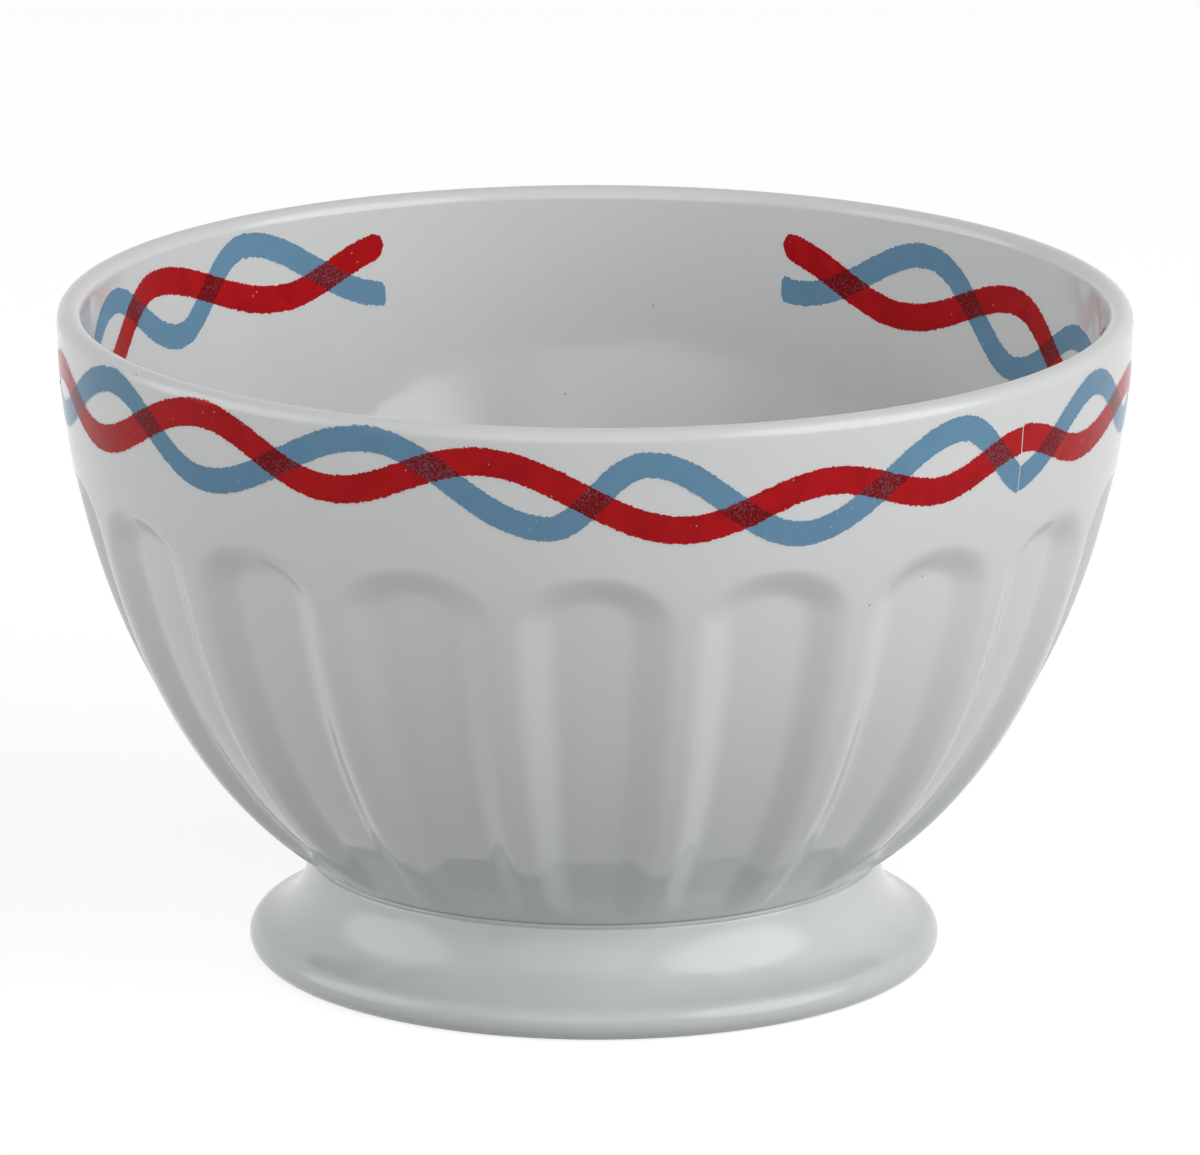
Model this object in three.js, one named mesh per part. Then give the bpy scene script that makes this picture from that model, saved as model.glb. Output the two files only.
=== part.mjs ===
// Footed porcelain bowl with a fluted outside and a two-ribbon border printed on both faces of its wall.
// Millimetres, +Z up. The origin is on the table under the middle of the foot, and -Y is the front.
// Angles run round +Z from the front, growing towards +X.
import * as THREE from 'three';

// Bowl
const RIM_DIAMETER = 140;
const HEIGHT = 87; // table to the top of the lip
const WALL_RISE = 1.6; // the wall would stand quite upright this far above the lip
const WALL_FULLNESS = 2.55; // 2 is an ellipse, and more swells the wall out lower down
const LIP_THICKNESS = 3.4;
const NECK_DIAMETER = 75; // underside of the bowl, where the foot is stuck on
const FLOOR_THICKNESS = 5;
const HEEL_THICKNESS = 8; // level thickness of the wall at the height of the floor
const FLOOR_CURVE = 12; // height of the curve between wall and floor

// Flutes
const FLUTE_COUNT = 18;
const FLUTE_DEPTH = 2.1;
const FLUTE_FLOOR = 0.52; // share of a flute's width that is its level floor, between two rolled sides
const RIDGE_WIDTH = 2; // plain land between two flutes
const FLUTE_DROP = 19.7; // top of the lip down to the tops of the arches
const ARCH_HEIGHT = 7;
const FLUTE_FADE = 6; // height above the neck over which the flutes run out

// Foot and the slip that holds it
const FOOT_HEIGHT = 13.6; // table to the underside of the bowl
const FOOT_DIAMETER = 90.6;
const FOOT_EDGE_RADIUS = 2.25;
const FOOT_EDGE_LEAN = 72; // degrees that the rounded edge turns above its middle before the flare begins
const FOOT_FLARE_LENGTH = 5.8; // how far the flare aims along the edge's slope before it turns up the neck
const FOOT_NECK_WALL = 5.5;
const STANDING_RING_WIDTH = 4; // flat ring that meets the table
const SLIP_THICKNESS = 0.6;

// Printed border: the blue ribbon lies on the wall and the red one crosses over it
const PRINT_THICKNESS = 0.15;
const PRINT_CLEARANCE = 0.15; // wall to blue, and blue to red
const RED_WIDTH = 3.7;
const BLUE_WIDTH = 3.3;
const SEAM_ANGLE = 51; // degrees, where the two ends of the outer border meet
const SEAM_GAP_ANGLE = 0.4; // degrees
const INNER_START_ANGLE = 205.5; // degrees, beside the bare gap at the back of the inside
const INNER_END_ANGLE = 517.5;

// Crests and troughs of each ribbon in turn, as degrees and drops below the top of the lip, in BORDER_DEPTHs.
// Between the two rows of a ribbon, its border runs on in even waves.
const BORDER_DEPTH = 10; // top of the lip down to about the middle of the border
const EVEN_WAVES = 6;
const OUTER_RED_TURNS = [
  [[51, 0.73], [63.3, 1.13], [80, 0.75]],
  [[280.5, 0.57], [294, 1.1], [314.7, 0.29], [331.5, 0.96], [348, 0.43], [369.5, 1.31], [385.3, 0.8],
    [398.7, 1.15], [411, 0.75]],
];
const OUTER_BLUE_TURNS = [
  [[49.5, 1.28], [66, 0.38], [81, 1.27]],
  [[278, 1.22], [298.7, 0.25], [314.7, 1.15], [336, 0.25], [355, 1.28], [365.4, 0.44], [382.3, 1.46],
    [401.5, 0.39], [413, 1.34]],
];
const INNER_RED_TURNS = [
  [[204, 0.62], [219.5, 1.16], [241.5, 0.52], [256, 1.32]],
  [[467, 1.57], [482.5, 0.83], [501, 1.4], [520, 0.62]],
];
const INNER_BLUE_TURNS = [
  [[205, 1.3], [225, 0.36], [237, 1.32], [252.5, 0.49]],
  [[466, 0.92], [481.5, 1.71], [498, 0.54], [515, 1.29], [532, 0.32]],
];

// Fineness of the curved surfaces
const STEPS_PER_FLUTE = 6;
const FOOT_STEPS = 72;
const RIBBON_STEPS = 180;

// Colours
const WHITE_GLAZE = { color: 0xeceeec, roughness: 0.12, metalness: 0 };
const BARE_SLIP = { color: 0xd9ddd8, roughness: 0.35, metalness: 0 };
const RED_PRINT = { color: 0xb01c22, roughness: 0.2, metalness: 0 };
const BLUE_PRINT = { color: 0x6c9abf, roughness: 0.2, metalness: 0 };

const TURN = 2 * Math.PI;
const rimRadius = RIM_DIAMETER / 2;
const neckRadius = NECK_DIAMETER / 2;
const widestZ = HEIGHT + WALL_RISE;
const floorZ = FOOT_HEIGHT + FLOOR_THICKNESS;
const lipRadius = LIP_THICKNESS / 2;
const lipZ = HEIGHT - lipRadius;
const fluteTopZ = HEIGHT - FLUTE_DROP;
const archZ = fluteTopZ - ARCH_HEIGHT;

// A swelling wall from its widest ring down through a lower ring: gives the radius at a height.
function bowlWall(widestRadius, lowRadius, lowZ) {
  const reach = (widestZ - lowZ) / Math.sqrt(1 - (lowRadius / widestRadius) ** WALL_FULLNESS);
  return (z) => widestRadius * (1 - ((widestZ - z) / reach) ** 2) ** (1 / WALL_FULLNESS);
}
const outerRadius = bowlWall(rimRadius, neckRadius, FOOT_HEIGHT);
const heelRadius = outerRadius(floorZ) - HEEL_THICKNESS;
const innerRadius = bowlWall(rimRadius - LIP_THICKNESS, heelRadius, floorZ);
const lipMiddle = (outerRadius(lipZ) + innerRadius(lipZ)) / 2;
const lipHalf = (outerRadius(lipZ) - innerRadius(lipZ)) / 2;

// Radius of the outside at a height, the outer half of the rounded lip included.
function outerFace(z) {
  if (z <= lipZ) return outerRadius(z);
  return lipMiddle + lipHalf * Math.sqrt(1 - ((z - lipZ) / lipRadius) ** 2);
}

// Points of a wall from one height to another, the last height left out.
function wallPoints(radiusAt, fromZ, toZ, count) {
  return Array.from({ length: count }, (_, i) => {
    const z = THREE.MathUtils.lerp(fromZ, toZ, i / count);
    return new THREE.Vector2(radiusAt(z), z);
  });
}

// Solid of revolution about +Z from a profile of (radius, height) points.
function turned(profile, steps) {
  return new THREE.LatheGeometry(profile, steps).rotateX(Math.PI / 2);
}

// Depth of the flutes: level scoops with rolled sides and arched tops, one of them centred on the front.
function fluteDepth(angle, z) {
  const pitch = TURN / FLUTE_COUNT;
  const offset = angle - pitch * Math.round(angle / pitch);
  const halfAngle = (pitch - RIDGE_WIDTH / outerRadius(z)) / 2;
  const across = offset / halfAngle;
  const intoArch = Math.max(0, (z - archZ) / ARCH_HEIGHT);
  const scoop = 1 - THREE.MathUtils.smoothstep(Math.hypot(across, intoArch), FLUTE_FLOOR, 1);
  const fade = THREE.MathUtils.smoothstep(z, FOOT_HEIGHT, FOOT_HEIGHT + FLUTE_FADE);
  return FLUTE_DEPTH * scoop * fade;
}

function bowlGeometry() {
  const outside = [
    new THREE.Vector2(0, FOOT_HEIGHT),
    ...wallPoints(outerRadius, FOOT_HEIGHT, archZ, 12),
    ...wallPoints(outerRadius, archZ, fluteTopZ, 4),
    ...wallPoints(outerRadius, fluteTopZ, lipZ, 4),
  ];
  const lip = new THREE.EllipseCurve(lipMiddle, lipZ, lipHalf, lipRadius, 0, Math.PI).getPoints(6);
  const curveTopZ = floorZ + FLOOR_CURVE;
  const inside = wallPoints(innerRadius, lipZ, curveTopZ, 11).slice(1);

  // The curve from the wall to the floor rounds off the heel and ends level.
  const wallFoot = new THREE.Vector2(innerRadius(curveTopZ), curveTopZ);
  const heel = new THREE.Vector2(heelRadius, floorZ);
  const floorEdge = new THREE.Vector2(heel.x - heel.distanceTo(wallFoot), floorZ);
  const floorCurve = new THREE.QuadraticBezierCurve(wallFoot, heel, floorEdge).getPoints(4);

  const profile = [...outside, ...lip, ...inside, ...floorCurve, new THREE.Vector2(0, floorZ)];
  const geometry = turned(profile, FLUTE_COUNT * STEPS_PER_FLUTE);
  cutFlutes(geometry, profile.length, outside.length);
  return geometry;
}

// Moves the points of the outer wall inwards by the depth of the flutes.
function cutFlutes(geometry, rows, outsideRows) {
  const position = geometry.getAttribute('position');
  const point = new THREE.Vector3();
  for (let i = 0; i < position.count; i += 1) {
    const row = i % rows;
    if (row === 0 || row >= outsideRows) continue;
    point.fromBufferAttribute(position, i);
    const depth = fluteDepth(Math.atan2(point.x, -point.y), point.z);
    const shrink = 1 - depth / Math.hypot(point.x, point.y);
    position.setXY(i, point.x * shrink, point.y * shrink);
  }
}

function footGeometry() {
  const topZ = FOOT_HEIGHT - SLIP_THICKNESS;
  const neckInside = neckRadius - FOOT_NECK_WALL;
  const edgeCentre = FOOT_DIAMETER / 2 - FOOT_EDGE_RADIUS;
  const lean = THREE.MathUtils.degToRad(FOOT_EDGE_LEAN);
  const edge = new THREE.EllipseCurve(
    edgeCentre, FOOT_EDGE_RADIUS, FOOT_EDGE_RADIUS, FOOT_EDGE_RADIUS, -Math.PI / 2, lean,
  ).getPoints(9);

  // The flare runs on from the rounded edge and rises, hollow, to the neck.
  const edgeTop = edge[edge.length - 1];
  const flareAim = new THREE.Vector2(
    edgeTop.x - FOOT_FLARE_LENGTH * Math.sin(lean),
    edgeTop.y + FOOT_FLARE_LENGTH * Math.cos(lean),
  );
  const neck = new THREE.Vector2(neckRadius, topZ);
  const flare = new THREE.QuadraticBezierCurve(edgeTop, flareAim, neck).getPoints(5).slice(1);

  const standingInside = new THREE.Vector2(edgeCentre - STANDING_RING_WIDTH, 0);
  const profile = [standingInside, ...edge, ...flare, new THREE.Vector2(neckInside, topZ), standingInside];
  return turned(profile, FOOT_STEPS);
}

function slipGeometry() {
  const inside = neckRadius - FOOT_NECK_WALL;
  const bottomZ = FOOT_HEIGHT - SLIP_THICKNESS;
  const profile = [
    new THREE.Vector2(inside, bottomZ),
    new THREE.Vector2(neckRadius, bottomZ),
    new THREE.Vector2(neckRadius, FOOT_HEIGHT),
    new THREE.Vector2(inside, FOOT_HEIGHT),
    new THREE.Vector2(inside, bottomZ),
  ];
  return turned(profile, FOOT_STEPS);
}

// All turns of a ribbon: its two rows joined by even waves between the heights of the first row's last two.
function allTurns([first, last]) {
  const [other, from] = first.slice(-2);
  const step = (last[0][0] - from[0]) / (2 * EVEN_WAVES);
  const between = Array.from({ length: 2 * EVEN_WAVES - 1 }, (_, i) => [
    from[0] + step * (i + 1),
    i % 2 === 0 ? other[1] : from[1],
  ]);
  return [...first, ...between, ...last];
}

// Height of a ribbon's centre line at an angle in degrees: half a wave from each turn to the next.
function ribbonPath(rows) {
  const turns = allTurns(rows);
  return (degrees) => {
    const next = Math.max(1, turns.findIndex(([angle]) => angle > degrees));
    const [fromAngle, fromDrop] = turns[next - 1];
    const [toAngle, toDrop] = turns[next];
    const part = (degrees - fromAngle) / (toAngle - fromAngle);
    return HEIGHT - BORDER_DEPTH * THREE.MathUtils.lerp(fromDrop, toDrop, (1 - Math.cos(part * Math.PI)) / 2);
  };
}

// A flat strip bent round the wall along a ribbon's centre line, with upright ends.
// Its front faces +Z of the flat strip, and radiusAt(z, lift) places that face away from the wall.
function ribbonGeometry(centreZ, fromDegrees, toDegrees, width, radiusAt) {
  const geometry = new THREE.BoxGeometry(1, 1, PRINT_THICKNESS, RIBBON_STEPS, 2, 1);
  const position = geometry.getAttribute('position');
  const stepRadians = THREE.MathUtils.degToRad((toDegrees - fromDegrees) / RIBBON_STEPS);
  for (let i = 0; i < position.count; i += 1) {
    const step = Math.round((position.getX(i) + 0.5) * RIBBON_STEPS);
    const degrees = THREE.MathUtils.lerp(fromDegrees, toDegrees, step / RIBBON_STEPS);
    const ahead = centreZ(degrees + THREE.MathUtils.radToDeg(stepRadians));
    const slope = (ahead - centreZ(degrees)) / (stepRadians * rimRadius);
    const z = centreZ(degrees) + position.getY(i) * width * Math.hypot(1, slope);
    const radius = radiusAt(z, position.getZ(i) + PRINT_THICKNESS / 2);
    const angle = THREE.MathUtils.degToRad(degrees);
    position.setXYZ(i, radius * Math.sin(angle), -radius * Math.cos(angle), z);
  }
  return geometry;
}

// Blue is the first printed layer and red the second.
function layerLift(layer) {
  return layer * PRINT_CLEARANCE + (layer - 1) * PRINT_THICKNESS;
}

function outerRibbon(turns, layer, width) {
  const radiusAt = (z, lift) => outerFace(z) + layerLift(layer) + lift;
  const fromDegrees = SEAM_ANGLE + SEAM_GAP_ANGLE / 2;
  const toDegrees = SEAM_ANGLE - SEAM_GAP_ANGLE / 2 + 360;
  return ribbonGeometry(ribbonPath(turns), fromDegrees, toDegrees, width, radiusAt);
}

// Seen from inside, the strip runs the other way round, so that its front still faces away from the wall.
function innerRibbon(turns, layer, width) {
  const radiusAt = (z, lift) => innerRadius(z) - layerLift(layer) - lift;
  return ribbonGeometry(ribbonPath(turns), INNER_END_ANGLE, INNER_START_ANGLE, width, radiusAt);
}

function piece(name, geometry, finish) {
  const mesh = new THREE.Mesh(geometry, new THREE.MeshStandardMaterial(finish));
  mesh.name = name;
  return mesh;
}

const group = new THREE.Group();
group.add(
  piece('bowl', bowlGeometry(), WHITE_GLAZE),
  piece('foot', footGeometry(), WHITE_GLAZE),
  piece('slip_joint', slipGeometry(), BARE_SLIP),
  piece('outer_blue_ribbon', outerRibbon(OUTER_BLUE_TURNS, 1, BLUE_WIDTH), BLUE_PRINT),
  piece('outer_red_ribbon', outerRibbon(OUTER_RED_TURNS, 2, RED_WIDTH), RED_PRINT),
  piece('inner_blue_ribbon', innerRibbon(INNER_BLUE_TURNS, 1, BLUE_WIDTH), BLUE_PRINT),
  piece('inner_red_ribbon', innerRibbon(INNER_RED_TURNS, 2, RED_WIDTH), RED_PRINT),
);

export default group;
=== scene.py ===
from math import atan2, cos, degrees, hypot, pi, radians, sin, sqrt, tau

import bmesh
import bpy
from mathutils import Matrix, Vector, noise


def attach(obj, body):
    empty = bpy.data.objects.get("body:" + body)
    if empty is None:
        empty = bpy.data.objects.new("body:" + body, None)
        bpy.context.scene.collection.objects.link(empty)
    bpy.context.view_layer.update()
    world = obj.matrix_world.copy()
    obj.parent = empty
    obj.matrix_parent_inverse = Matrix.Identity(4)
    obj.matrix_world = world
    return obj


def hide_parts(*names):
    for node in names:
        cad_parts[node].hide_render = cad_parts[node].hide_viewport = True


bl_info = {
    "name": "Footed Fluted Bowl",
    "version": (1, 0, 0),
    "blender": (4, 5, 0),
    "location": "3D View > Sidebar > Bowl",
    "description": "Footed porcelain bowl with flutes and a printed border of twisted ribbons",
    "category": "Object",
}

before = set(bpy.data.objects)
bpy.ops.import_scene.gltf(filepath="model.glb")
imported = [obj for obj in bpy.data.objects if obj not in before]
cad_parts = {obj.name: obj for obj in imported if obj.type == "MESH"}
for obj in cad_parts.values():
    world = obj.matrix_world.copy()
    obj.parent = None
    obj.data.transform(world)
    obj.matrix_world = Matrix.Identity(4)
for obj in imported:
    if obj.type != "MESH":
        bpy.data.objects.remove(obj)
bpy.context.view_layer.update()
MM = 0.001

# Faces of each mesh. Rows run along a wall's profile, and steps run round the axis.
SHARP_ANGLE = radians(50)
MERGE_DISTANCE = 1e-6
CORNER_ROWS = 3
TOE_ROWS = 4
FADE_ROWS = 8
FLUTE_ROWS = 22
ARCH_ROWS = 20
BORDER_ROWS = 30
LIP_ROWS = 36
INSIDE_ROWS = 40
HEEL_ROWS = 10
STEPS_PER_FLUTE = 30
FOOT_EDGE_ROWS = 18
FOOT_FLARE_ROWS = 18
FOOT_HOLLOW_ROWS = 10
FOOT_STEPS = 180
SLIP_ROWS = 8
RIBBON_ROWS = 10
TABLE_SEGMENTS = 8

# Softened corners of the foot and slip. The hollow's wall leans in by RING_LEAN above the ring.
FOOT_TOP_ROUND = 0.3 * MM
RING_ROUND = 0.4 * MM
RING_LEAN = 0.3 * MM
SLIP_INSET = 0.1 * MM

# Rounded corners of the ribbons' ends, at the seam outside and at the blue ends inside. An end
# takes END_SHARE of a full round, so that none of its faces shrinks to nothing.
SEAM_ROUND = 0.15 * MM
BLUE_END_ROUND = 0.7 * MM
END_SHARE = 0.96

# Ragged edge, coarse and fine: waves per degree, spread over the rows, and the noise's own slice.
COARSE_RAG = (2.6, 7.3, 0.4)
FINE_RAG = (7.0, 3.1, 2.7)
FINE_SHARE = 0.6

# A ribbon's length is measured at this height. Red changes colour and climbs where it crosses blue,
# over distances from the blue's centre line in half widths.
RIBBON_LENGTH_Z = 80 * MM
CROSSING_EDGE = (0.9, 1.1)
CLIMB = (1.25, 1.6)

# Heights between which the glaze changes from its darker lower colour, where thick glaze collects
# and painted shade darkens it further, to its thin one, and how far the change drifts up and down.
BOWL_POOL_AND_SHADE = (12 * MM, 75 * MM)
FOOT_POOL_AND_SHADE = (2 * MM, 30 * MM)
SLIP_POOL_AND_SHADE = (14 * MM, 30 * MM)
POOL_AND_SHADE_DRIFT = 30 * MM

# Heights between which the foot's glaze ends above the bare ring, and how far that line wanders.
GLAZE_LINE = (0.2 * MM, 0.42 * MM)
GLAZE_LINE_WANDER = 0.3 * MM

# Gloss, as the lowest and highest roughness, and bump, as distance and strength.
GLAZE_IOR = 1.5
GLAZE_ROUGHNESS = (0.05, 0.1)
FOOT_EXTRA_ROUGHNESS = 0.05
CLAY_ROUGHNESS = 0.8
PRINT_ROUGHNESS = (0.1, 0.2)
PRINT_SPECULAR = 0.06
GLAZE_BUMP = (0.6 * MM, 0.35)
PRINT_BUMP = (0.04 * MM, 0.5)
RIPPLE_SHARE = 0.05

# Specks and pinholes, as the edge of a dot in its cell and the dot's strength.
SPECK_EDGE, SPECK_STRENGTH = (0.011, 0.024), 0.7
PINHOLE_EDGE, PINHOLE_STRENGTH = (0.035, 0.07), 0.4

# Strengths of the print's crossings, mottling and speckle, and how far its edge frays.
CROSSING_STRENGTH = 0.9
MOTTLE_STRENGTH = 0.3
SPECKLE_STRENGTH = 0.45
FRAY = 5.0

# Darker tones, as shares of the colour that they belong to.
DARK_CLAY = 0.75
DEEP_BLUE = 0.8
DARK_TABLE = 0.97

# Grain of the finishes, as noise scales or cells per metre.
GLAZE_CLOUDS = 38.0
GLAZE_GLOSS_GRAIN = 160.0
GLAZE_WAVES = 55.0
GLAZE_RIPPLES = 420.0
CLAY_SPECKS = 118.0
GLAZE_LINE_GRAIN = 500.0
BARE_CLAY_GRIT = 2600.0
PRINT_GRIT = 2600.0
PRINT_CLOUDS = 260.0
PRINT_THIN_PATCHES = 110.0
PRINT_SPECKLE = 4600.0
PRINT_PINHOLES = 480.0
PRINT_TOOTH = 1500.0
TABLE_CLOUDS = 4.0

# Lights: name, degrees from the front towards +X, elevation, metres away, metres wide, watts.
LIGHTS = (
    ("key", 61, 27, 1.7, 2.4, 51.0),
    ("fill", -86, 20, 1.7, 2.2, 27.0),
    ("front", -10, 25, 1.8, 2.2, 14.0),
)
LIGHT_AIM_Z = 50 * MM

# Distances from a light's middle, as shares of its width, over which it fades out.
LIGHT_FADE = (0.25, 0.5)

# The sky's strength falls from the first to the second between these heights of a direction.
SKY_HEIGHTS = (0.05, 0.65)
SKY_STRENGTHS = (0.54, 0.08)

# Table and camera.
TABLE_GLOW = 0.79
TABLE_DROP = 0.05 * MM
SENSOR_WIDTH = 36.0
CAMERA_SHIFT_UP = 0.0306
CAMERA_ROLL = radians(-0.1)

# Crests and troughs of each ribbon in turn, as degrees from the front and millimetres below the
# lip's top. Between the two rows of a ribbon, it runs on in even waves.
EVEN_WAVES = 6
OUTER_RED_TURNS = (
    ((51, 7.3), (63.3, 11.3), (80, 7.5)),
    ((280.5, 5.7), (294, 11), (314.7, 2.9), (331.5, 9.6), (348, 4.3), (369.5, 13.1), (385.3, 8),
     (398.7, 11.5), (411, 7.5)),
)
OUTER_BLUE_TURNS = (
    ((49.5, 12.8), (66, 3.8), (81, 12.7)),
    ((278, 12.2), (298.7, 2.5), (314.7, 11.5), (336, 2.5), (355, 12.8), (365.4, 4.4), (382.3, 14.6),
     (401.5, 3.9), (413, 13.4)),
)
INNER_RED_TURNS = (
    ((204, 6.2), (219.5, 11.6), (241.5, 5.2), (256, 13.2)),
    ((467, 15.7), (482.5, 8.3), (501, 14), (520, 6.2)),
)
INNER_BLUE_TURNS = (
    ((205, 13), (225, 3.6), (237, 13.2), (252.5, 4.9)),
    ((466, 9.2), (481.5, 17.1), (498, 5.4), (515, 12.9), (532, 3.2)),
)


def length(name, default, description):
    """A length that a user would change."""
    return bpy.props.FloatProperty(
        name=name, description=description, default=default, min=0.0, precision=5,
        unit="LENGTH", subtype="DISTANCE",
    )


def angle(name, default, description):
    """An angle in radians, given here in degrees."""
    return bpy.props.FloatProperty(
        name=name, description=description, default=radians(default),
        unit="ROTATION", subtype="ANGLE",
    )


def plain(name, default, description):
    """A plain number."""
    return bpy.props.FloatProperty(name=name, description=description, default=default)


def colour(name, default, description):
    """A colour, as linear red, green and blue."""
    return bpy.props.FloatVectorProperty(
        name=name, description=description, default=default, size=3, min=0.0, max=1.0,
        subtype="COLOR",
    )


class BowlBodySizes(bpy.types.PropertyGroup):
    """Sizes of the bowl's wall and floor."""

    rim_diameter: length("Rim diameter", 140 * MM, "Outside of the bowl at its widest ring")
    height: length("Height", 87 * MM, "Table to the top of the lip")
    wall_rise: length("Wall rise", 1.6 * MM, "The wall would stand upright this far above the lip")
    wall_fullness: plain("Wall fullness", 2.55, "2 is an ellipse, and more swells the wall low down")
    lip_thickness: length("Lip thickness", 3.4 * MM, "Thickness of the wall at the lip")
    neck_diameter: length("Neck diameter", 75 * MM, "Underside of the bowl, where the foot sits")
    floor_thickness: length("Floor thickness", 5 * MM, "Thickness of the bowl's floor")
    heel_thickness: length("Heel thickness", 8 * MM, "Level thickness of the wall beside the floor")
    floor_curve: length("Floor curve", 12 * MM, "Height of the curve between wall and floor")
    base_round: length("Base rounding", 0.35 * MM, "Softened lower corner of the wall")


class BowlFluteSizes(bpy.types.PropertyGroup):
    """Sizes of the upright flutes on the outside."""

    count: bpy.props.IntProperty(
        name="Flutes", description="Number of flutes round the bowl", default=18, min=3
    )
    depth: length("Flute depth", 2.1 * MM, "Depth of a flute's floor")
    floor_share: plain("Flute floor", 0.42, "Share of a flute's width that is its level floor")
    ridge_width: length("Ridge width", 2 * MM, "Plain land between two flutes")
    drop: length("Flute drop", 19.1 * MM, "Top of the lip down to the tops of the arches")
    arch_height: length("Arch height", 7.6 * MM, "Height of the arched top of a flute")
    fade: length("Flute fade", 6 * MM, "Height above the neck over which the flutes run out")


class BowlFootSizes(bpy.types.PropertyGroup):
    """Sizes of the flared foot and of the slip that holds it."""

    height: length("Foot height", 13.6 * MM, "Table to the underside of the bowl")
    diameter: length("Foot diameter", 90.6 * MM, "Outside of the foot's rounded edge")
    edge_radius: length("Edge radius", 2.25 * MM, "Radius of the rounded edge")
    edge_lean: angle("Edge lean", 72, "Turn of the edge above its middle before the flare begins")
    flare_sweep: length("Flare sweep", 5.8 * MM, "How far the flare aims along the edge's slope")
    neck_wall: length("Neck wall", 5.5 * MM, "Thickness of the foot at the neck")
    ring_width: length("Standing ring", 4 * MM, "Width of the flat ring that meets the table")
    slip_thickness: length("Slip thickness", 0.6 * MM, "Height of the slip between foot and bowl")
    slip_hollow: length("Slip hollow", 0.3 * MM, "Depth of the slip's crease at the neck")


class BowlBorderSizes(bpy.types.PropertyGroup):
    """Sizes of the printed border."""

    red_width: length("Red width", 3.7 * MM, "Width of the red ribbon")
    blue_width: length("Blue width", 3.35 * MM, "Width of the blue ribbon")
    film: length("Film", 0.02 * MM, "Thickness of one printed layer")
    clearance: length("Clearance", 0.015 * MM, "Gap from wall to blue, and from blue to red")
    ragged: length("Ragged edge", 0.09 * MM, "How far a ribbon's edge wanders")
    fringe: length("Fringe", 0.14 * MM, "Clear rim of the transfer, over which the ink frays out")
    seam_angle: angle("Seam", 51, "Where the two ends of the outer border meet, from the front")
    seam_gap: angle("Seam gap", 0.17, "Bare gap between those two ends")
    inner_start: angle("Inner start", 205.5, "Start of the inner border, by the bare place behind")
    inner_end: angle("Inner end", 517.5, "End of the inner border")
    step: length("Step", 0.4 * MM, "Length of a ribbon's faces along it")


class BowlFinishColours(bpy.types.PropertyGroup):
    """Colours of the glaze and of the print."""

    glaze: colour("Glaze", (0.682, 0.692, 0.689), "White porcelain under clear glaze")
    # The lower colours are darker than the glaze partly as painted shade: the bowl darkens towards
    # the bottom, and the foot is dimmed.
    pooled_glaze_and_shade: colour("Glaze pooling with painted shade", (0.587, 0.62, 0.611), "Thicker glaze and painted shade, low on the bowl")
    # Painted shade: the foot's colour is darker than thick glaze alone, to dim the highlights on its
    # flare.
    foot_glaze_and_shade: colour("Foot glaze", (0.53, 0.563, 0.557), "Thickest glaze and painted shade, on the foot")
    bare_clay: colour("Bare clay", (0.60, 0.585, 0.55), "Ground clay of the standing ring")
    speck: colour("Speck", (0.16, 0.15, 0.13), "Tiny iron specks in the clay")
    red: colour("Red", (0.46, 0.0085, 0.0115), "Red ribbon")
    red_over_blue: colour("Red over blue", (0.17, 0.002, 0.004), "Red where it crosses the blue")
    blue_through_red: colour("Blue through red", (0.19, 0.15, 0.20), "Blue seen between red specks")
    blue: colour("Blue", (0.147, 0.29, 0.43), "Blue ribbon")
    floor: colour("Floor", (0.4, 0.4, 0.4), "Pale table")


class BowlStageSizes(bpy.types.PropertyGroup):
    """Camera and lights."""

    camera_distance: length("Camera distance", 1.6, "Camera to a point in the middle of the bowl")
    camera_height: length("Aim height", 45 * MM, "Height of the point that the camera circles")
    camera_elevation: angle("Elevation", 14.817, "How far the camera looks down")
    camera_lens: plain("Lens", 366.9, "Focal length in millimetres")
    floor_size: length("Floor size", 6.0, "Side of the square table")


def smoothstep(value, low, high):
    part = min(1.0, max(0.0, (value - low) / (high - low)))
    return part * part * (3 - 2 * part)


def bowl_wall(widest_radius, widest_z, low_radius, low_z, fullness):
    """The radius at a height of a wall that swells from a lower ring up to its widest ring."""
    reach = (widest_z - low_z) / sqrt(1 - (low_radius / widest_radius) ** fullness)
    return lambda z: widest_radius * (1 - ((widest_z - z) / reach) ** 2) ** (1 / fullness)


class Walls:
    """The two faces of the bowl's wall, worked out from the sizes."""

    def __init__(self, scene):
        body = scene.bowl_body
        self.neck_z = scene.bowl_foot.height
        self.floor_z = self.neck_z + body.floor_thickness
        widest_z = body.height + body.wall_rise
        rim = body.rim_diameter / 2
        self.outer = bowl_wall(
            rim, widest_z, body.neck_diameter / 2, self.neck_z, body.wall_fullness
        )
        self.heel = self.outer(self.floor_z) - body.heel_thickness
        self.inner = bowl_wall(
            rim - body.lip_thickness, widest_z, self.heel, self.floor_z, body.wall_fullness
        )
        self.lip_radius = body.lip_thickness / 2
        self.lip_z = body.height - self.lip_radius
        self.lip_middle = (self.outer(self.lip_z) + self.inner(self.lip_z)) / 2
        self.lip_half = (self.outer(self.lip_z) - self.inner(self.lip_z)) / 2

    def outside(self, z):
        """Radius of the outside, the outer half of the rounded lip included."""
        if z <= self.lip_z:
            return self.outer(z)
        return self.lip_middle + self.lip_half * sqrt(1 - ((z - self.lip_z) / self.lip_radius) ** 2)


def wall_points(radius_at, from_z, to_z, count):
    """Points of a wall from one height to another, the last height left out."""
    heights = [from_z + (to_z - from_z) * i / count for i in range(count)]
    return [Vector((radius_at(z), z)) for z in heights]


def arc(centre, radius_x, radius_z, start, end, count):
    """Points of an elliptic arc, both ends included."""
    turns = [start + (end - start) * i / count for i in range(count + 1)]
    return [Vector((centre[0] + radius_x * cos(a), centre[1] + radius_z * sin(a))) for a in turns]


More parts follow.
